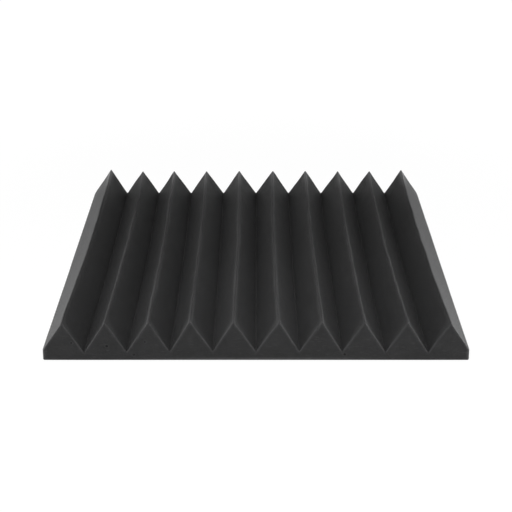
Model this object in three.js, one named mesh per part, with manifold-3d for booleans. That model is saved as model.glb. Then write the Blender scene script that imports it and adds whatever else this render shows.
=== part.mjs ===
// Wedge-profile acoustic foam tile, lying on its back with its ridges up.
// Lengths are in millimetres. X runs across the wedges, Y along the ridges and Z up.
// The origin is the middle of the underside.
//
// The tile is one block of open-cell foam. Its wedges are cut by a blade, so each ridge and each
// groove keeps the small radius of that cut, and the block's side edges fall in the middle of a
// groove, so that tiles set side by side carry the pattern on. Its flat back is laminated with a
// thin double-coated adhesive film, and a release liner, slit into two halves, covers the film
// until the tile is put up.

import * as THREE from "three";
import { mergeVertices } from "three/addons/utils/BufferGeometryUtils.js";
import Module from "manifold-3d";

// The wedge field
const WEDGE_COUNT = 10;
const WEDGE_PITCH = 50; // from ridge to ridge
const WEDGE_HEIGHT = 36; // from the floor of a groove to the top of a ridge
const RIDGE_LENGTH = 500; // from the front face to the rear face
const TIP_RADIUS = 1; // along the top of a ridge
const ROOT_RADIUS = 1; // along the floor of a groove
const END_EDGE_RADIUS = 0.8; // where the wedges meet the front and rear faces

// The block that the wedges are cut from
const BASE_THICKNESS = 14; // solid foam under the grooves
const SHOULDER_RADIUS = 2; // where an outer slope runs down to the side
const CORNER_RADIUS = 3.2; // its four upright corners
const BACK_EDGE_RADIUS = 2; // round the edge of its flat back

// The layers on the back
const FILM_THICKNESS = 0.2; // double-coated adhesive film
const FILM_SETBACK = 1; // from the rim of the flat back to the edge of the film
const FILM_CORNER_RADIUS = 1.5;
const LINER_THICKNESS = 0.15; // release paper
const LINER_SLIT = 0.6; // between the two halves of the liner
const LAYER_CLEARANCE = 0.02; // between one layer and the next

// How far a solid that only cuts runs past what it cuts
const CUT_OVERRUN = 5;

// A rounded edge takes up at most this share of the round that it runs into
const EDGE_LIMIT_SHARE = 0.8;

// Facets: twice the first number on an arc, and the second on a rounded edge
const ARC_FACET_PAIRS = 3;
const EDGE_FACETS = 3;

const RIGHT_ANGLE = Math.PI / 2;

// What follows from the sizes above
const halfPitch = WEDGE_PITCH / 2;
const halfWidth = WEDGE_COUNT * halfPitch;
const halfLength = RIDGE_LENGTH / 2;
const endEdge = Math.min(END_EDGE_RADIUS, TIP_RADIUS * EDGE_LIMIT_SHARE);
const backEdge = Math.min(BACK_EDGE_RADIUS, CORNER_RADIUS * EDGE_LIMIT_SHARE);

const filmBottom = LINER_THICKNESS + LAYER_CLEARANCE;
const filmTop = filmBottom + FILM_THICKNESS;
const foamBottom = filmTop + LAYER_CLEARANCE;
const grooveLevel = foamBottom + BASE_THICKNESS;
const ridgeLevel = grooveLevel + WEDGE_HEIGHT;

const wasm = await Module();
wasm.setup();

/** A closed three.js geometry as a solid that can be cut. */
function toSolid(geometry) {
  const bare = geometry.clone();
  bare.deleteAttribute("normal");
  bare.deleteAttribute("uv");
  const merged = mergeVertices(bare);
  return new wasm.Manifold(
    new wasm.Mesh({
      numProp: merged.attributes.position.itemSize,
      vertProperties: merged.attributes.position.array,
      triVerts: new Uint32Array(merged.index.array),
    }),
  );
}

/** The solid as a three.js geometry again. */
function toGeometry(solid) {
  const mesh = solid.getMesh();
  const geometry = new THREE.BufferGeometry();
  const corners = new THREE.BufferAttribute(mesh.vertProperties, mesh.numProp);
  geometry.setAttribute("position", corners);
  geometry.setIndex(new THREE.BufferAttribute(mesh.triVerts, 1));
  geometry.computeVertexNormals();
  return geometry;
}

/** A rectangle with round corners, seen from above, with its middle at the origin. */
function roundedRectangle(halfAcross, halfAlong, radius) {
  const x = halfAcross - radius;
  const y = halfAlong - radius;
  const outline = new THREE.Shape();
  outline.moveTo(x, -halfAlong);
  outline.absarc(x, -y, radius, -RIGHT_ANGLE, 0);
  outline.absarc(x, y, radius, 0, RIGHT_ANGLE);
  outline.absarc(-x, y, radius, RIGHT_ANGLE, 2 * RIGHT_ANGLE);
  outline.absarc(-x, -y, radius, 2 * RIGHT_ANGLE, 3 * RIGHT_ANGLE);
  outline.closePath();
  return outline;
}

/**
 * The block before its wedges are cut, with round upright corners and a round edge at its back.
 * It stands taller than the tile, so that the wedge field alone shapes the top.
 */
function foamBlank() {
  return new THREE.ExtrudeGeometry(roundedRectangle(halfWidth, halfLength, CORNER_RADIUS), {
    depth: BASE_THICKNESS + WEDGE_HEIGHT + CUT_OVERRUN,
    bevelEnabled: true,
    bevelThickness: backEdge,
    bevelSize: backEdge,
    bevelOffset: -backEdge,
    bevelSegments: EDGE_FACETS,
    curveSegments: ARC_FACET_PAIRS,
  }).translate(0, 0, foamBottom + backEdge);
}

/**
 * How steep a wedge's side is, from the horizontal. The side is the straight line that touches
 * the round of the ridge on its outside and the round of the groove on its inside.
 */
function sideAngle() {
  const rise = WEDGE_HEIGHT - TIP_RADIUS - ROOT_RADIUS;
  const centreDistance = Math.hypot(halfPitch, rise);
  const centreAngle = Math.atan2(rise, halfPitch);
  return centreAngle + Math.asin((TIP_RADIUS + ROOT_RADIUS) / centreDistance);
}

/**
 * The level of the middle of a shoulder's round, which touches the tile's side and the straight
 * outer slope that comes down from the round of the outermost ridge.
 */
function shoulderLevel(slope) {
  const across = halfPitch - SHOULDER_RADIUS;
  const outward = TIP_RADIUS - SHOULDER_RADIUS;
  return ridgeLevel - TIP_RADIUS + (outward - across * Math.sin(slope)) / Math.cos(slope);
}

/**
 * The wedges seen from the front, with the profile's Y as the tile's Z. The outline goes from
 * the right shoulder over the ridges and grooves to the left one, and runs past the block below.
 */
function wedgeProfile() {
  const slope = sideAngle();
  const right = 0;
  const up = RIGHT_ANGLE;
  const left = 2 * RIGHT_ANGLE;
  const down = 3 * RIGHT_ANGLE;
  const tipCentre = ridgeLevel - TIP_RADIUS;
  const rootCentre = grooveLevel + ROOT_RADIUS;
  const shoulder = { x: halfWidth - SHOULDER_RADIUS, z: shoulderLevel(slope) };
  const below = foamBottom - CUT_OVERRUN;
  const profile = new THREE.Shape();

  profile.moveTo(halfWidth, below);
  profile.lineTo(halfWidth, shoulder.z);
  profile.absarc(shoulder.x, shoulder.z, SHOULDER_RADIUS, right, up - slope, false);
  for (let i = 0; i < WEDGE_COUNT; i += 1) {
    const ridge = halfWidth - halfPitch - i * WEDGE_PITCH;
    if (i > 0) {
      const groove = ridge + halfPitch;
      profile.absarc(groove, rootCentre, ROOT_RADIUS, down + slope, down - slope, true);
    }
    profile.absarc(ridge, tipCentre, TIP_RADIUS, up - slope, up + slope, false);
  }
  profile.absarc(-shoulder.x, shoulder.z, SHOULDER_RADIUS, up + slope, left, false);
  profile.lineTo(-halfWidth, below);
  profile.closePath();
  return profile;
}

/** The wedges as one long prism, with a soft edge where they meet the front and rear faces. */
function wedgeField() {
  return new THREE.ExtrudeGeometry(wedgeProfile(), {
    depth: RIDGE_LENGTH - 2 * endEdge,
    bevelEnabled: true,
    bevelThickness: endEdge,
    bevelSize: endEdge,
    bevelOffset: -endEdge,
    bevelSegments: EDGE_FACETS,
    curveSegments: ARC_FACET_PAIRS,
  })
    .rotateX(RIGHT_ANGLE)
    .translate(0, halfLength - endEdge, 0);
}

/** The foam: what the block and the wedge field have in common. */
function foamPanel() {
  return toGeometry(toSolid(foamBlank()).intersect(toSolid(wedgeField())));
}

// The film and the liner are cut to one outline, just inside the flat of the foam's back
const backing = {
  halfAcross: halfWidth - backEdge - FILM_SETBACK,
  halfAlong: halfLength - backEdge - FILM_SETBACK,
};

/** A sheet of the backing's outline, from one level up to another. */
function backingSheet(bottom, top) {
  const outline = roundedRectangle(backing.halfAcross, backing.halfAlong, FILM_CORNER_RADIUS);
  return new THREE.ExtrudeGeometry(outline, {
    depth: top - bottom,
    bevelEnabled: false,
    curveSegments: ARC_FACET_PAIRS,
  }).translate(0, 0, bottom);
}

/** Half of the release liner, to the left (-1) or the right (1) of its slit. */
function linerHalf(side) {
  const reach = backing.halfAcross + CUT_OVERRUN;
  const keptWidth = reach - LINER_SLIT / 2;
  const kept = new THREE.BoxGeometry(
    keptWidth,
    2 * (backing.halfAlong + CUT_OVERRUN),
    2 * (LINER_THICKNESS + CUT_OVERRUN),
  ).translate(side * (reach - keptWidth / 2), 0, 0);
  return toGeometry(toSolid(backingSheet(0, LINER_THICKNESS)).intersect(toSolid(kept)));
}

// Finishes, as they show in plain light
const charcoalFoam = new THREE.MeshStandardMaterial({
  color: 0x3b3b3c,
  roughness: 0.97,
  metalness: 0,
});
const adhesive = new THREE.MeshStandardMaterial({
  color: 0xd9d6cb,
  roughness: 0.35,
  metalness: 0,
});
const releasePaper = new THREE.MeshStandardMaterial({
  color: 0xe9e3d2,
  roughness: 0.55,
  metalness: 0,
});

function piece(name, geometry, material) {
  const mesh = new THREE.Mesh(geometry, material);
  mesh.name = name;
  return mesh;
}

const tile = new THREE.Group();
tile.name = "acoustic_foam_tile";
tile.add(
  piece("foam_wedge_panel", foamPanel(), charcoalFoam),
  piece("adhesive_film", backingSheet(filmBottom, filmTop), adhesive),
  piece("release_liner_left", linerHalf(-1), releasePaper),
  piece("release_liner_right", linerHalf(1), releasePaper),
);

export default tile;
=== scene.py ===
"""An acoustic foam tile with straight wedges, lying on its back on a white studio floor.

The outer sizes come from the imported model. The foam is built here as a mesh with soft cut edges,
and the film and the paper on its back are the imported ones, with finishes of their own.
Lengths are in metres. X runs across the wedges, Y along the ridges and Z up.
"""

import math

import bmesh
import bpy
import numpy as np
from bpy.props import FloatProperty, FloatVectorProperty, IntProperty, PointerProperty
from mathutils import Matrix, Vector, geometry, noise


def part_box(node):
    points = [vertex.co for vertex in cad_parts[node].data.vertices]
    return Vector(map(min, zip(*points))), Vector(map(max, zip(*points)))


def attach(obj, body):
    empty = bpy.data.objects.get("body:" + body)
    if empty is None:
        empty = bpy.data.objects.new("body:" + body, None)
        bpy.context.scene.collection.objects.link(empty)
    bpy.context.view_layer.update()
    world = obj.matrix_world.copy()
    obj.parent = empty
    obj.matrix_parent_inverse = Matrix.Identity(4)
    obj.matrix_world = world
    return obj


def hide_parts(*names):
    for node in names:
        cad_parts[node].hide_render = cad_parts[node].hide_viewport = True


bl_info = {
    "name": "Acoustic Foam Tile",
    "version": (1, 0, 0),
    "blender": (4, 5, 0),
    "location": "3D View > Sidebar > Foam Tile",
    "description": "Builds a wedge-profile acoustic foam tile and a white studio round it",
    "category": "Add Mesh",
}

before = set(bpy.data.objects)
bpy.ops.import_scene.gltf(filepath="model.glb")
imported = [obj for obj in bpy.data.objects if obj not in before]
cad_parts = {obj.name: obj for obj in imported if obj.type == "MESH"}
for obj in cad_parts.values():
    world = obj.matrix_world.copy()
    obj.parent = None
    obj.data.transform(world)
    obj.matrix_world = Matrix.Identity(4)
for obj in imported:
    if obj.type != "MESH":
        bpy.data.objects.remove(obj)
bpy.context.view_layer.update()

FOAM_NODE = "foam_wedge_panel"
FILM_NODE = "adhesive_film"
LINER_NODES = ("release_liner_left", "release_liner_right")
BODY = "root"
TRUE_PLACE = "true_place"

MM = 0.001
QUARTER = math.pi / 2

# Steps of the mesh over the flat faces, and how much of a step its points keep off a rim
END_FACE_STEP = 3 * MM
BACK_STEP = 20 * MM
OFF_RIM_SHARE = 0.55

# For the triangles there: how near two points are taken as one, and the kind of output that
# holds only what lies inside the rim
MERGE_DISTANCE = 0.001 * MM
INSIDE_ONLY = 1

# Lumps of the unevenness along X, Y and Z, and how far in from its ends the foam is looser
SLOW_LUMPS = np.array([60, 90, 60]) * MM
QUICK_LUMPS = np.array([22, 30, 30]) * MM
CELL_LUMPS = np.array([3.2, 3.2, 3.2]) * MM
LOOSE_END = 30 * MM

# The lamps' widths and heights, and the places that they shine from. The side lamp's place is
# mirrored for the other side.
TILE_MIDDLE = (0, 0, 0)
SIDE_LAMP_SIZE = (1.2, 0.14)
SIDE_LAMP_PLACE = (1.2, -0.1, 0.08)
FRONT_LAMP_SIZE = (0.8, 0.5)
FRONT_LAMP_PLACE = (0, -0.7, 0.9)
TOP_LAMP_SIZE = (1.2, 1.2)
TOP_LAMP_PLACE = (0, 0, 1.6)

# The floor lies a hair under the tile and glows a touch over pure white. A small share of the
# tile's shadow shows on it, and fades between two distances from the tile's middle.
FLOOR_REACH = 5
FLOOR_GAP = 0.05 * MM
FLOOR_GLOW = 1.02
SHADOW_SHARE = 0.06
SHADOW_FADE = (0.4, 1)

# How far the cuts in the soft foam run from true, outwards and upwards, to half a millimetre. The
# rows are the front end, halfway and the rear end. A row of ridges goes from the middle pair to
# the outer pair, and a row of grooves from the middle one to the tile's side.
RIDGES_OUT = (
    (1.5, 1.5, 0, 0.5, 0),
    (-1.5, 0, -2, -4.5, -4),
    (1, 1.5, 1, -0.5, -1.5),
)
RIDGES_UP = (
    (0.5, 0.5, 0, -0.5, -1),
    (0, 0, 0, 0, 0),
    (0, 0, 0, -0.5, 2),
)
GROOVES_OUT = (
    (0, 0.5, 0.5, 1, 1, -0.5),
    (0, -0.5, -1, -1.5, -2, 0),
    (0, 0.5, 1, 1, 0, 1),
)
GROOVES_UP = (
    (-1.5, -1, -1.5, -2, -3, 0),
    (0, 0, 0, 0, 0, 0),
    (0, 0, 0, 0, 0, 0),
)


# Sizes and colours that a user can change


def length(name, description, default):
    """A length that the sidebar shows to a hundredth of a millimetre."""
    return FloatProperty(
        name=name, description=description, default=default, unit="LENGTH", precision=5
    )


def colour(name, description, default):
    """An opaque colour."""
    return FloatVectorProperty(
        name=name, description=description, default=default, subtype="COLOR", min=0, max=1
    )


def power(name, description, default):
    """The power of a lamp."""
    return FloatProperty(
        name=name, description=description, default=default, unit="POWER", min=0
    )


class FoamSizes(bpy.types.PropertyGroup):
    """How the foam is cut, which its packed box doesn't say."""

    wedge_count: IntProperty(
        name="Wedges", description="Ridges across the tile", default=10, min=1
    )
    base_thickness: length("Base", "Solid foam under the grooves", 14 * MM)
    tip_radius: length("Ridge round", "Along the top of a ridge", 1 * MM)
    root_radius: length("Groove round", "Along the floor of a groove", 1 * MM)
    shoulder_radius: length("Shoulder", "Where an outer slope runs down to the side", 2 * MM)
    end_radius: length("End edge", "Where the wedges meet the front and rear faces", 0.8 * MM)
    corner_radius: length("Corner", "The four upright corners", 3.2 * MM)
    back_radius: length("Back edge", "Round the edge of the flat back", 2 * MM)
    row: length("Row", "Step of the mesh along a ridge", 2.3 * MM)
    wander: length("Wander", "How far the blade strays from a straight cut", 0.6 * MM)
    crumble: length("Crumble", "Unevenness that open cells leave on a cut face", 0.12 * MM)
    cell: length("Cell", "Width of one cell of the foam", 0.9 * MM)
    # The rim is the width of the painted highlight along a cut edge, and it sets the widths of the
    # other painted light and shade
    rim: length("Rim", "Width of the loose, paler foam along a cut edge", 3 * MM)


class TileColours(bpy.types.PropertyGroup):
    """Colours of the tile and of the floor that it lies on."""

    foam: colour("Foam", "Charcoal foam", (0.018, 0.018, 0.0183))
    film: colour("Film", "Adhesive film on the back", (0.694, 0.672, 0.597))
    paper: colour("Paper", "Release liner", (0.815, 0.768, 0.644))
    floor: colour("Floor", "Studio floor", (0.86, 0.86, 0.86))


class StudioSettings(bpy.types.PropertyGroup):
    """The camera, and how bright the studio is."""

    lens: FloatProperty(
        name="Lens", description="Focal length", default=81.47, unit="CAMERA", precision=2
    )
    tilt: FloatProperty(
        name="Tilt",
        description="How far the camera looks down",
        default=math.radians(24.646),
        subtype="ANGLE",
    )
    distance: length("Distance", "Along the floor, from the camera to the tile's middle", 1.4327)
    height: length("Height", "Of the camera above the floor", 0.6778)
    sky: FloatProperty(name="Sky", description="Light from all round", default=0.2, min=0)
    side_power: power("Sides", "Each of the two long low lamps beside the tile", 25)
    front_power: power("Front", "The lamp above the front of the tile", 8)
    top_power: power("Top", "The lamp above the middle of the tile", 3)


# The foam's shape


class Block:
    """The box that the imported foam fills."""

    def __init__(self):
        low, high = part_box(FOAM_NODE)
        self.half_width = (high.x - low.x) / 2
        self.half_length = (high.y - low.y) / 2
        self.back = low.z
        self.ridge = high.z


class Wedges:
    """What follows from the sizes of the wedges and the block."""

    def __init__(self, block, sizes):
        self.half_pitch = block.half_width / sizes.wedge_count
        self.tip_level = block.ridge - sizes.tip_radius
        self.root_level = block.back + sizes.base_thickness + sizes.root_radius
        rise = self.tip_level - self.root_level
        rounds = sizes.tip_radius + sizes.root_radius
        reach = math.hypot(self.half_pitch, rise)
        # A wedge's side, from the horizontal, touches the round of its ridge and of its groove
        self.slope = math.atan2(rise, self.half_pitch) + math.asin(rounds / reach)

    def shoulder_level(self, sizes):
        """The middle of the shoulder's round, which touches the side and the outer slope."""
        across = self.half_pitch - sizes.shoulder_radius
        outward = sizes.tip_radius - sizes.shoulder_radius
        drop = (outward - across * math.sin(self.slope)) / math.cos(self.slope)
        return self.tip_level + drop


class Outline:
    """The foam seen from the front: rounds, with straight runs between them.

    Each point has its place and outward normal in X and Z, and the radius of the end edge there.
    """

    ARC_STEP = math.radians(20)
    RUN_STEP = 5 * MM

    def __init__(self):
        self.points = np.empty((0, 2))
        self.normals = np.empty((0, 2))
        self.ends = np.empty(0)

    def extend(self, points, normals, ends):
        """Adds points, with their normals and the radii of the end edge there."""
        self.points = np.vstack([self.points, points])
        self.normals = np.vstack([self.normals, normals])
        self.ends = np.append(self.ends, ends)

    def round(self, centre, radius, angles, ends):
        """A round from one angle of its normal to another. A negative radius is a hollow one."""
        steps = math.ceil(abs(angles[1] - angles[0]) / self.ARC_STEP)
        turn = np.linspace(*angles, steps + 1)
        normals = np.column_stack([np.cos(turn), np.sin(turn)])
        points = np.array(centre) + radius * normals
        if len(self.points):
            self.run(points[0], normals[0], ends[0])
        self.extend(points, normals, np.linspace(*ends, steps + 1))

    def run(self, stop, normal, end):
        """The inner points of a straight run up to a place, closer together near both its ends."""
        way = stop - self.points[-1]
        steps = max(2, round(math.hypot(*way) / self.RUN_STEP))
        shares = (1 - np.cos(np.linspace(0, math.pi, steps + 1)[1:-1])) / 2
        points = self.points[-1] + shares[:, None] * way
        ends = self.ends[-1] + shares * (end - self.ends[-1])
        self.extend(points, np.tile(normal, (steps - 1, 1)), ends)


def foam_outline(block, sizes, wedges):
    """The outline from the left end of the flat back, over the wedges, to its right end."""
    outline = Outline()
    slope = wedges.slope
    side, shoulder_x = block.half_width, block.half_width - sizes.shoulder_radius
    back_x, back_z = side - sizes.back_radius, block.back + sizes.back_radius
    shoulder_z = wedges.shoulder_level(sizes)
    back_ends, ends = (sizes.back_radius, sizes.end_radius), (sizes.end_radius,) * 2

    outline.round((-back_x, back_z), sizes.back_radius, (3 * QUARTER, 2 * QUARTER), back_ends)
    turn = (2 * QUARTER, QUARTER + slope)
    outline.round((-shoulder_x, shoulder_z), sizes.shoulder_radius, turn, ends)
    for i in range(sizes.wedge_count):
        ridge = (2 * i + 1) * wedges.half_pitch - side
        if i > 0:
            groove = (ridge - wedges.half_pitch, wedges.root_level)
            turn = (QUARTER - slope, QUARTER + slope)
            outline.round(groove, -sizes.root_radius, turn, ends)
        turn = (QUARTER + slope, QUARTER - slope)
        outline.round((ridge, wedges.tip_level), sizes.tip_radius, turn, ends)
    turn = (QUARTER - slope, 0)
    outline.round((shoulder_x, shoulder_z), sizes.shoulder_radius, turn, ends)
    outline.round((back_x, back_z), sizes.back_radius, (0, -QUARTER), back_ends[::-1])
    return outline


def back_run(block, sizes, step):
    """The flat back seen from the front, from its right end to its left, without those ends."""
    outline = Outline()
    reach = block.half_width - sizes.back_radius
    across = np.linspace(reach, -reach, round(2 * reach / step) + 1)[1:-1]
    points = np.column_stack([across, np.full(len(across), block.back)])
    normals = np.tile((0, -1), (len(across), 1))
    outline.extend(points, normals, np.full(len(across), sizes.back_radius))
    return outline


def end_rows(outline, block, end, steps=4):
    """Rows of the round edge between an end face (-1 front, 1 rear) and the rest of the foam."""
    rows = []
    for turn in np.linspace(0, QUARTER, steps + 1):
        inset = outline.ends * (1 - math.sin(turn))
        place = outline.points - inset[:, None] * outline.normals
        y = end * (block.half_length - outline.ends * (1 - math.cos(turn)))
        rows.append(np.column_stack([place[:, 0], y, place[:, 1]]))
    return np.array(rows)


def middle_rows(outline, block, sizes):
    """Rows of the whole outline along the foam, between the round edges of its ends."""
    reach = block.half_length - sizes.back_radius - sizes.row
    count = round(2 * reach / sizes.row) + 1
    level = outline.points[:, 1]
    across = outline.points[:, 0]
    return np.array(
        [
            np.column_stack([across, np.full(len(across), y), level])
            for y in np.linspace(-reach, reach, count)
        ]
    )


def distance_to_rim(points, rim):
    """How far points in a plane are from the nearest side of a closed rim."""
    start, way = rim, np.roll(rim, -1, axis=0) - rim
    offset = points[:, None] - start[None]
    share = np.clip((offset * way).sum(-1) / (way**2).sum(-1), 0, 1)
    return np.sqrt(((offset - share[..., None] * way) ** 2).sum(-1)).min(1)


class FoamMesh:
    """The points and faces of a mesh, as they are added."""

    def __init__(self):
        self.points = np.empty((0, 3))
        self.faces = []

    def add(self, points):
        """Adds an array of points, and gives their numbers in the same layout."""
        first = len(self.points)
        self.points = np.vstack([self.points, points.reshape(-1, 3)])
        return np.arange(first, len(self.points)).reshape(points.shape[:-1])

    def skin(self, grid):
        """Four-sided faces over a grid of points."""
        corners = (grid[:-1, :-1], grid[:-1, 1:], grid[1:, 1:], grid[1:, :-1])
        self.faces += np.stack(corners, axis=-1).reshape(-1, 4).tolist()

    def fill(self, rim, up, spacing):
        """Triangles over the flat region in a closed rim, with points of its own at that spacing.

        The region lies in X and the axis that up names, 1 for Y or 2 for Z.
        """
        flat = self.points[rim][:, (0, up)]
        level = self.points[rim][:, 3 - up].mean()
        if (flat[:, 0] * np.roll(flat[:, 1], -1) - flat[:, 1] * np.roll(flat[:, 0], -1)).sum() < 0:
            rim, flat = rim[::-1], flat[::-1]
        low, high = flat.min(0), flat.max(0)
        rows = np.arange(low[1], high[1], spacing * math.sqrt(0.75))
        columns = np.arange(low[0], high[0], spacing)
        grid = np.array([(x + i % 2 * spacing / 2, y) for i, y in enumerate(rows) for x in columns])
        inner = grid[distance_to_rim(grid, flat) > OFF_RIM_SHARE * spacing]
        places = [Vector(place) for place in np.vstack([flat, inner])]
        loop = list(range(len(flat)))
        triangulated = geometry.delaunay_2d_cdt(
            places, [], [loop], INSIDE_ONLY, MERGE_DISTANCE
        )
        faces, sources = triangulated[2], triangulated[3]
        numbers = {}
        for corner in sorted({corner for face in faces for corner in face}):
            source = min(sources[corner])
            if source < len(flat):
                numbers[corner] = int(rim[source])
            else:
                point = np.full(3, level)
                point[[0, up]] = places[source]
                numbers[corner] = int(self.add(point[None])[0])
        self.faces += [[numbers[corner] for corner in face] for face in faces]


def foam_mesh(block, sizes, wedges):
    """The foam as one closed skin with all its edges round."""
    mesh = FoamMesh()
    outline = foam_outline(block, sizes, wedges)
    front, rear = end_rows(outline, block, -1), end_rows(outline, block, 1)[::-1]
    rows = np.vstack([front, middle_rows(outline, block, sizes), rear])
    skin = mesh.add(rows)
    mesh.skin(skin)

    edge_rows = len(front)
    back = back_run(block, sizes, 4 * sizes.row)
    loops = []
    for end, ends in ((-1, skin[:edge_rows]), (1, skin[::-1][:edge_rows])):
        under = mesh.add(end_rows(back, block, end))
        mesh.skin(np.hstack([ends[:, -1:], under, ends[:, :1]]))
        mesh.fill(np.append(ends[0], under[0]), up=2, spacing=END_FACE_STEP)
        loops.append(np.concatenate([ends[-1, -1:], under[-1], ends[-1, :1]]))
    left, right = skin[edge_rows:-edge_rows, 0], skin[edge_rows:-edge_rows, -1]
    rim = np.concatenate([loops[0], left, loops[1][::-1], right[::-1]])
    mesh.fill(rim, up=1, spacing=BACK_STEP)
    return mesh


def smooth_step(value, low, high):
    """0 at low, 1 at high and smooth between, also where low is the greater."""
    share = np.clip((value - low) / (high - low), 0, 1)
    return share * share * (3 - 2 * share)


def round_corners(points, block, radius):
    """Draws the upright corners in to a round, seen from above."""
    reach = np.array([block.half_width, block.half_length]) - radius
    plan = points[:, :2]
    share = np.clip((np.abs(plan) - reach) / radius, 0, 1)
    drawn = share * np.sqrt(1 - share[:, ::-1] ** 2 / 2)
    points[:, :2] += np.sign(plan) * (drawn - share) * radius


def stray(points, lumps, seed):
    """A smooth push for each point, in three directions, from lumps of that size."""
    noise.seed_set(seed)
    return np.array([noise.noise_vector(Vector(place)) for place in points / lumps])


def bow(rows, place, along):
    """What a table gives at a place across the tile, on a smooth curve through its three rows."""
    front, middle, rear = (np.interp(place, range(len(row)), row) * MM for row in rows)
    return middle + along * (rear - front) / 2 + along**2 * ((front + rear) / 2 - middle)


def bend(points, block, wedges):
    """Moves the ridges and grooves as the tables say, with the flat back left in place."""
    along = points[:, 1] / block.half_length
    groove = np.abs(points[:, 0]) / wedges.half_pitch / 2
    ridge = groove - 0.5
    level = points[:, 2]
    up = np.clip((level - wedges.root_level) / (wedges.tip_level - wedges.root_level), 0, 1)
    held = np.clip((level - block.back) / (wedges.root_level - block.back), 0, 1)
    out = up * bow(RIDGES_OUT, ridge, along) + (1 - up) * bow(GROOVES_OUT, groove, along)
    rise = up * bow(RIDGES_UP, ridge, along) + (1 - up) * bow(GROOVES_UP, groove, along)
    points[:, 0] += np.sign(points[:, 0]) * held * out
    points[:, 2] += held * rise


def wear_in(points, block, sizes, wedges):
    """What the blade and the open cells do to the true shape. The flat back stays flat."""
    height = smooth_step(points[:, 2], block.back, wedges.root_level)[:, None]
    upper = smooth_step(points[:, 2], wedges.root_level, wedges.tip_level)[:, None]
    near_end = smooth_step(block.half_length - np.abs(points[:, 1]), LOOSE_END, 0)[:, None]
    slow = stray(points, SLOW_LUMPS, seed=19)
    quick = stray(points, QUICK_LUMPS, seed=139)
    cells = stray(points, CELL_LUMPS, seed=7)
    # The ridges are the loosest, and more so near their ends
    blade = (0.3 + 0.7 * upper) * sizes.wander * (slow + (0.5 + 0.7 * upper) * quick)
    blade += upper * near_end * 0.5 * sizes.wander * quick
    points += height * (blade + sizes.crumble * (0.4 + 0.6 * upper) * cells)


def foam_object(sizes):
    """The foam panel as an object."""
    block = Block()
    wedges = Wedges(block, sizes)
    shape = foam_mesh(block, sizes, wedges)
    round_corners(shape.points, block, sizes.corner_radius)
    true_points = shape.points.copy()
    bend(shape.points, block, wedges)
    wear_in(shape.points, block, sizes, wedges)
    mesh = bpy.data.meshes.new("foam_panel")
    mesh.from_pydata(shape.points.tolist(), [], shape.faces)
    places = mesh.attributes.new(TRUE_PLACE, "FLOAT_VECTOR", "POINT")
    places.data.foreach_set("vector", true_points.ravel())
    work = bmesh.new()
    work.from_mesh(mesh)
    bmesh.ops.recalc_face_normals(work, faces=work.faces)
    for face in work.faces:
        face.smooth = True
    work.to_mesh(mesh)
    work.free()
    foam = bpy.data.objects.new("foam_panel", mesh)
    bpy.context.scene.collection.objects.link(foam)
    return foam


# Finishes


class Wire:
    """A socket that gives a value. Sums on wires add the Math nodes that work them out."""

    def __init__(self, finish, socket):
        self.finish = finish
        self.socket = socket

    def other(self, output):
        """Another output of the node that this one comes from."""
        return Wire(self.finish, self.socket.node.outputs[output])

    def __add__(self, other):
        return self.finish.math("ADD", self, other)

    def __radd__(self, other):
        return self.finish.math("ADD", other, self)

    def __sub__(self, other):
        return self.finish.math("SUBTRACT", self, other)

    def __rsub__(self, other):
        return self.finish.math("SUBTRACT", other, self)

    def __mul__(self, other):
        return self.finish.math("MULTIPLY", self, other)

    def __rmul__(self, other):
        return self.finish.math("MULTIPLY", other, self)

    def __abs__(self):
        return self.finish.math("ABSOLUTE", self)

    def __gt__(self, other):
        return self.finish.math("GREATER_THAN", self, other)


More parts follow.
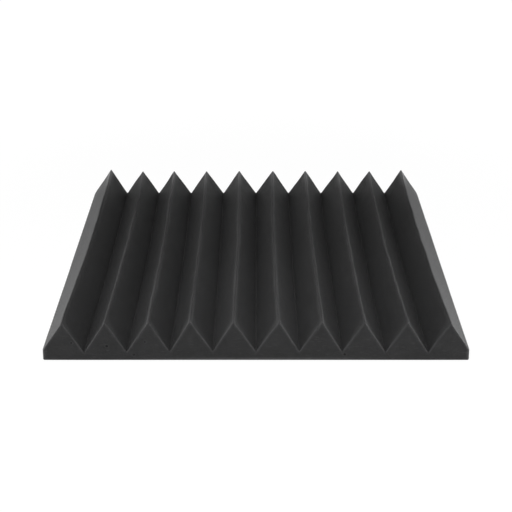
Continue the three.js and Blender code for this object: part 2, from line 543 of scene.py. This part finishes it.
class Finish:
    """The shader nodes of a material or of the world."""

    def __init__(self, owner):
        owner.use_nodes = True
        self.owner = owner
        self.tree = owner.node_tree
        self.tree.nodes.clear()

    def add(self, kind, settings=None, inputs=None, output=0):
        """Adds a node: first its settings, then a value or a wire for each of its sockets.

        A socket goes by its number or its identifier.
        """
        node = self.tree.nodes.new(kind)
        for key, setting in (settings or {}).items():
            setattr(node, key, setting)
        for key, value in (inputs or {}).items():
            socket = self.socket(node.inputs, key)
            if isinstance(value, Wire):
                self.tree.links.new(value.socket, socket)
            else:
                socket.default_value = value
        return Wire(self, self.socket(node.outputs, output)) if node.outputs else None

    @staticmethod
    def socket(sockets, key):
        """The socket that has that number or identifier."""
        if isinstance(key, int):
            return sockets[key]
        return next(socket for socket in sockets if socket.identifier == key)

    def math(self, operation, *values):
        """A Math node of that kind on those values."""
        return self.add("ShaderNodeMath", {"operation": operation}, dict(enumerate(values)))

    def place(self, *lumps):
        """Where a point is on the tile, counted in lumps of those sizes along X, Y and Z."""
        at = self.add("ShaderNodeTexCoord", output="Object")
        scale = tuple(1 / lump for lump in lumps)
        return self.add("ShaderNodeVectorMath", {"operation": "MULTIPLY"}, {0: at, 1: scale})

    def grain(self, *lumps, **inputs):
        """Noise from 0 to 1, with lumps of that size, or of those sizes along X, Y and Z."""
        at = self.place(*(lumps if len(lumps) == 3 else lumps * 3))
        return self.add("ShaderNodeTexNoise", None, {"Vector": at, "Scale": 1, **inputs}, "Fac")

    def cells(self, size, feature, **inputs):
        """Distances in Voronoi cells of that size, counted in cells."""
        at = self.place(size, size, size)
        values = {"Vector": at, "Scale": 1, **inputs}
        return self.add("ShaderNodeTexVoronoi", {"feature": feature}, values, "Distance")

    def ramp(self, value, low, high):
        """0 where the value is below low, 1 where it is above high, and smooth between."""
        settings = {"interpolation_type": "SMOOTHSTEP"}
        inputs = {"Value": value, "From Min": low, "From Max": high}
        return self.add("ShaderNodeMapRange", settings, inputs, "Result")

    def mix(self, share, dark, light):
        """A colour between two others."""
        inputs = {"Factor_Float": share, "A_Color": dark, "B_Color": light}
        return self.add("ShaderNodeMix", {"data_type": "RGBA"}, inputs, "Result_Color")

    def bump(self, height, depth):
        """A normal bent by a height, of which 1 stands for that depth."""
        return self.add("ShaderNodeBump", None, {"Distance": depth, "Height": height}, "Normal")

    def end(self, shader):
        """Joins the last shader to the output."""
        world = isinstance(self.owner, bpy.types.World)
        kind = "ShaderNodeOutputWorld" if world else "ShaderNodeOutputMaterial"
        self.add(kind, None, {"Surface": shader})
        return self.owner


def shade(rgb, factor):
    """A colour made that much lighter or darker, as a socket takes it."""
    return (*(min(1, channel * factor) for channel in rgb), 1)


def painted_light_places(finish, block, sizes, wedges):
    """Where a point lies on the true foam, each from 0 to 1, to place painted light and painted
    shade.

    "ends" are the edges of the end faces, "foot" is at their feet and "corners" at their sides.
    "ridges" lie on the ridges, with "upper" round them, and "floors" in the grooves, with
    "grooves" round them. "front" and "rear" rise towards those ends, "far" reaches further in
    from the rear, and "centre" rises towards the middle. "outward" flanks face the tile's
    sides, and "outer" are the two outermost of them. "inward" flanks face its middle, and are
    fainter the nearer they are to it.
    """
    at = finish.add("ShaderNodeAttribute", {"attribute_name": TRUE_PLACE}, output="Vector")
    split = finish.add("ShaderNodeSeparateXYZ", None, {0: at})
    x, y, z = split, split.other("Y"), split.other("Z")
    from_groove = finish.math("PINGPONG", x + block.half_width, wedges.half_pitch)
    surface = wedges.root_level + math.tan(wedges.slope) * from_groove
    buried = (surface - z) * math.cos(wedges.slope) - 0.1 * sizes.rim
    depth = finish.math("MAXIMUM", buried, 0)
    from_end = block.half_length - abs(y) + depth
    on_flank = 1 - finish.ramp(depth, 0, sizes.rim)
    facing = finish.add("ShaderNodeTexCoord", output="Normal")
    facing = finish.add("ShaderNodeSeparateXYZ", None, {0: facing})
    sideways = facing * finish.math("SIGN", x)
    outward = finish.ramp(sideways, 0.3, 0.8) * on_flank
    inward = finish.ramp(0 - sideways, 0.3, 0.8) * on_flank
    middle = 1 - finish.ramp(abs(x), 0.1 * block.half_width, 0.7 * block.half_width)
    below = block.ridge - z
    return {
        "ends": 1 - finish.ramp(from_end, 0, 1.4 * sizes.rim),
        "foot": (1 - finish.ramp(z - block.back, 0, 2 * sizes.rim)) * (0.1 + 0.9 * middle),
        "corners": 1 - finish.ramp(block.half_width - abs(x), 0, 2 * sizes.rim),
        "ridges": 1 - finish.ramp(below, 0, 1.2 * sizes.rim),
        "upper": 1 - finish.ramp(below, 0, 4 * sizes.rim),
        "grooves": (1 - finish.ramp(z - wedges.root_level, 0, 2 * sizes.rim)) * on_flank,
        "floors": (1 - finish.ramp(z - wedges.root_level, -0.6 * sizes.root_radius, 0)) * on_flank,
        "front": finish.ramp(0 - y, -0.5 * block.half_length, block.half_length) * on_flank,
        "rear": finish.ramp(y, 0.7 * block.half_length, block.half_length) * on_flank,
        "far": finish.ramp(y, 0.45 * block.half_length, 0.8 * block.half_length) * on_flank,
        "centre": 1 - finish.ramp(abs(x), 0, 4 * wedges.half_pitch),
        "outward": outward,
        "inward": inward * finish.ramp(abs(x), 0, block.half_width),
        "outer": outward * (abs(x) > block.half_width - 2 * wedges.half_pitch),
    }


def foam_finish(sizes, colours):
    """Open-cell foam: pale struts, dark cells, burst cells, painted highlights and painted shade.
    """
    finish = Finish(bpy.data.materials.new("charcoal_foam"))
    block = Block()
    on = painted_light_places(finish, block, sizes, Wedges(block, sizes))

    struts = 1 - finish.ramp(finish.cells(sizes.cell, "DISTANCE_TO_EDGE"), 0.02, 0.32)
    grit = finish.grain(sizes.cell / 2, Detail=3, Roughness=0.65)
    burst = finish.cells(17 * sizes.cell, "F1")
    pick = finish.add("ShaderNodeSeparateColor", None, {0: burst.other("Color")})
    picked = pick > 0.5
    pits = (1 - finish.ramp(burst, 0.08, 0.13)) * picked
    halos = (1 - finish.ramp(burst, 0.13, 0.2)) * picked - pits
    mottle = finish.grain(14 * MM, Detail=4, Roughness=0.6)
    drift = finish.grain(110 * MM, Detail=2)
    drawn = finish.grain(2.5 * MM, 140 * MM, 2.5 * MM, Detail=2)
    scuffs = finish.ramp(finish.grain(8 * MM, 8 * MM, 0.9 * MM, Detail=2), 0.62, 0.7)
    lumps = finish.grain(5 * MM, Detail=2)

    tone = (
        1.06
        + (struts - 0.45) * 0.5
        + (grit - 0.5) * 0.8
        + (mottle - 0.5) * 0.9
        + (drift - 0.5) * 0.5
        + (drawn - 0.5) * 0.3
        + halos * 0.5
        - pits * 0.9
        + scuffs * 0.7
        # Painted highlight along the edges of the end faces
        + on["ends"] * 0.65
        # Painted light from the white floor on the foot of the end faces, strongest in the middle
        + on["foot"] * 3.2
        # Painted highlight on the upright corners, away from the front
        + on["corners"] * (1 - on["front"]) * 0.6
        # Painted shade down in the grooves
        - on["grooves"] * 0.3
        # Painted shade along the floors of the grooves
        - on["floors"] * 0.6
        # Painted light on the flanks towards the front end, more in the middle
        + on["front"] * (0.56 + 0.28 * on["centre"])
        # Painted light on the flanks that face the tile's sides, below the ridges, more towards the
        # front
        + (on["outward"] - on["outer"])
        * (1 - on["ridges"])
        * (0.1 + on["front"] * (0.85 - 0.3 * on["centre"]))
        # Painted light on the two outermost flanks, away from the front
        + on["outer"] * 0.3 * (1 - on["front"])
        # Painted shade on the flanks that face the middle
        - on["inward"] * 0.36
        # Towards the rear: painted light high on the wedges and on outward flanks, painted shade
        # lower down
        + on["rear"] * (4 * on["upper"] - 0.9 + 0.7 * on["outer"] + 1.2 * on["outward"])
        # Painted highlight along the ridges towards the rear
        + on["far"] * on["ridges"] * 0.6
    )
    height = struts * 0.45 + grit * 0.35 + drawn * 0.12 + lumps * 0.5 - pits * 1.2
    # The tone runs from black to this many times the foam's own colour
    lightest = 6
    black, light = (0, 0, 0, 1), shade(colours.foam, lightest)
    inputs = {
        "Base Color": finish.mix(tone * (1 / lightest), black, light),
        "Roughness": 0.62 + 0.16 * mottle + 0.3 * on["ridges"] * (1 - on["far"]),
        "Specular IOR Level": 0.15,
        "Normal": finish.bump(height, 0.45 * sizes.cell),
    }
    return finish.end(finish.add("ShaderNodeBsdfPrincipled", None, inputs))


def film_finish(colours):
    """Milky acrylic adhesive with flattened air bubbles under it."""
    finish = Finish(bpy.data.materials.new("adhesive"))
    cloud = finish.grain(30 * MM, Detail=3)
    bubbles = finish.ramp(finish.cells(6 * MM, "SMOOTH_F1", Smoothness=0.4), 0.12, 0.3)
    tone = cloud * 0.5 + bubbles * 0.35
    inputs = {
        "Base Color": finish.mix(tone, shade(colours.film, 0.82), shade(colours.film, 1.1)),
        "Roughness": 0.3 + 0.2 * cloud,
        "Normal": finish.bump(bubbles, 0.05 * MM),
    }
    return finish.end(finish.add("ShaderNodeBsdfPrincipled", None, inputs))


def paper_finish(colours):
    """Release paper: short fibres, a soft cockle and a faint silicone gloss."""
    finish = Finish(bpy.data.materials.new("release_paper"))
    fibres = finish.grain(0.5 * MM, 2.2 * MM, 0.5 * MM, Detail=4)
    cross = finish.grain(2 * MM, 0.6 * MM, 0.6 * MM, Detail=4)
    cloud = finish.grain(9 * MM, Detail=3)
    cockle = finish.grain(55 * MM, Detail=1)
    tone = fibres * 0.35 + cross * 0.35 + cloud * 0.3
    inputs = {
        "Base Color": finish.mix(tone, shade(colours.paper, 0.8), shade(colours.paper, 1.14)),
        "Roughness": 0.42 + 0.25 * cloud,
        "Specular IOR Level": 0.4,
        "Normal": finish.bump(fibres * 0.05 + cross * 0.05 + cockle * 0.9, 0.5 * MM),
    }
    return finish.end(finish.add("ShaderNodeBsdfPrincipled", None, inputs))


# The studio


def seen_directly(finish):
    """1 for what the camera sees straight, in a mirror or through glass, and 0 for its light."""
    path = finish.add("ShaderNodeLightPath", output="Is Camera Ray")
    seen = path + path.other("Is Glossy Ray") + path.other("Is Transmission Ray")
    return finish.math("MINIMUM", seen, 1)


def floor_finish(colours):
    """A matt floor that shows as pure white, with a faint shadow left near the tile.

    It is clear to what comes from below, so that the back of the tile can be looked at.
    """
    finish = Finish(bpy.data.materials.new("studio_floor"))
    matt = finish.add("ShaderNodeBsdfDiffuse", None, {"Color": shade(colours.floor, 1)})
    glow = {"Color": (1, 1, 1, 1), "Strength": FLOOR_GLOW}
    white = finish.add("ShaderNodeEmission", None, glow)
    away = finish.add(
        "ShaderNodeVectorMath", {"operation": "LENGTH"}, {0: finish.place(1, 1, 1)}, "Value"
    )
    unshadowed = (1 - SHADOW_SHARE) + SHADOW_SHARE * finish.ramp(away, *SHADOW_FADE)
    share = seen_directly(finish) * unshadowed
    top = finish.add("ShaderNodeMixShader", None, {0: share, 1: matt, 2: white})
    underneath = finish.add("ShaderNodeNewGeometry", output="Backfacing")
    let_through = finish.add("ShaderNodeLightPath", output="Transparent Depth")
    clear = finish.math("MINIMUM", underneath + let_through, 1)
    nothing = finish.add("ShaderNodeBsdfTransparent")
    return finish.end(finish.add("ShaderNodeMixShader", None, {0: clear, 1: top, 2: nothing}))


def sky(strength):
    """Even light from all round, behind which the backdrop shows as pure white."""
    finish = Finish(bpy.data.worlds.new("studio"))
    light = finish.add("ShaderNodeBackground", None, {"Strength": strength})
    white = finish.add("ShaderNodeBackground", None, {"Color": (1, 1, 1, 1), "Strength": 1})
    inputs = {0: seen_directly(finish), 1: light, 2: white}
    return finish.end(finish.add("ShaderNodeMixShader", None, inputs))


def lamp(name, watts, size, place):
    """A soft rectangular lamp, of that width and height, turned to the tile's middle."""
    light = bpy.data.lights.new(name, "AREA")
    light.energy = watts
    light.shape = "RECTANGLE"
    light.size, light.size_y = size
    thing = bpy.data.objects.new(name, light)
    bpy.context.scene.collection.objects.link(thing)
    thing.location = place
    thing.rotation_mode = "QUATERNION"
    thing.rotation_quaternion = (Vector(TILE_MIDDLE) - Vector(place)).to_track_quat("-Z", "Y")
    thing.visible_camera = False


def floor(colours):
    """The floor that the tile lies on."""
    signs = ((-1, -1), (1, -1), (1, 1), (-1, 1))
    corners = [(x * FLOOR_REACH, y * FLOOR_REACH, -FLOOR_GAP) for x, y in signs]
    mesh = bpy.data.meshes.new("floor")
    mesh.from_pydata(corners, [], [(0, 1, 2, 3)])
    mesh.materials.append(floor_finish(colours))
    thing = bpy.data.objects.new("floor", mesh)
    bpy.context.scene.collection.objects.link(thing)


def camera(studio):
    """The camera, in front of the tile and above it."""
    thing = bpy.data.objects.new("camera", bpy.data.cameras.new("camera"))
    bpy.context.scene.collection.objects.link(thing)
    thing.data.lens = studio.lens
    thing.location = (0, -studio.distance, studio.height)
    thing.rotation_euler = (QUARTER - studio.tilt, 0, 0)
    return thing


# The operators, in the order that they run


class FOAM_OT_panel(bpy.types.Operator):
    """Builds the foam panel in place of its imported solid"""

    bl_idname = "foam_tile.panel"
    bl_label = "Foam Panel"

    def execute(self, context):
        scene = context.scene
        foam = foam_object(scene.foam_sizes)
        foam.data.materials.append(foam_finish(scene.foam_sizes, scene.tile_colours))
        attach(foam, BODY)
        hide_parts(FOAM_NODE)
        return {"FINISHED"}


class FOAM_OT_backing(bpy.types.Operator):
    """Finishes the adhesive film and the two halves of the release liner"""

    bl_idname = "foam_tile.backing"
    bl_label = "Adhesive Backing"

    def execute(self, context):
        colours = context.scene.tile_colours
        self.paint(FILM_NODE, film_finish(colours), "adhesive")
        paper = paper_finish(colours)
        for node in LINER_NODES:
            self.paint(node, paper, "release_paper")
        return {"FINISHED"}

    @staticmethod
    def paint(node, material, slot):
        """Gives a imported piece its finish."""
        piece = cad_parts[node]
        piece.material_slots[0].material = material


class FOAM_OT_studio(bpy.types.Operator):
    """Sets up the floor, the light and the camera"""

    bl_idname = "foam_tile.studio"
    bl_label = "Studio"

    def execute(self, context):
        scene = context.scene
        studio = scene.studio_settings
        floor(scene.tile_colours)
        scene.world = sky(studio.sky)
        out, along, up = SIDE_LAMP_PLACE
        for name, side in (("left_lamp", -1), ("right_lamp", 1)):
            lamp(name, studio.side_power, SIDE_LAMP_SIZE, (side * out, along, up))
        lamp("front_lamp", studio.front_power, FRONT_LAMP_SIZE, FRONT_LAMP_PLACE)
        lamp("top_lamp", studio.top_power, TOP_LAMP_SIZE, TOP_LAMP_PLACE)
        scene.camera = camera(studio)
        scene.view_settings.view_transform = "Standard"
        return {"FINISHED"}


OPERATORS = (FOAM_OT_panel, FOAM_OT_backing, FOAM_OT_studio)


class FOAM_PT_sidebar(bpy.types.Panel):
    """The sizes, the colours and the steps that build the tile"""

    bl_label = "Foam Tile"
    bl_idname = "FOAM_PT_sidebar"
    bl_space_type = "VIEW_3D"
    bl_region_type = "UI"
    bl_category = "Foam Tile"

    def draw(self, context):
        for settings in SETTINGS:
            box = self.layout.box()
            for key in SETTINGS[settings].__annotations__:
                box.prop(getattr(context.scene, settings), key)
        for operator in OPERATORS:
            self.layout.operator(operator.bl_idname)


SETTINGS = {
    "foam_sizes": FoamSizes,
    "tile_colours": TileColours,
    "studio_settings": StudioSettings,
}
CLASSES = (*SETTINGS.values(), *OPERATORS, FOAM_PT_sidebar)


def register():
    for each in CLASSES:
        bpy.utils.register_class(each)
    for name, kind in SETTINGS.items():
        setattr(bpy.types.Scene, name, PointerProperty(type=kind))


def unregister():
    for name in SETTINGS:
        delattr(bpy.types.Scene, name)
    for each in reversed(CLASSES):
        bpy.utils.unregister_class(each)


def main():
    register()
    bpy.ops.foam_tile.panel()
    bpy.ops.foam_tile.backing()
    bpy.ops.foam_tile.studio()


if __name__ == "__main__":
    main()
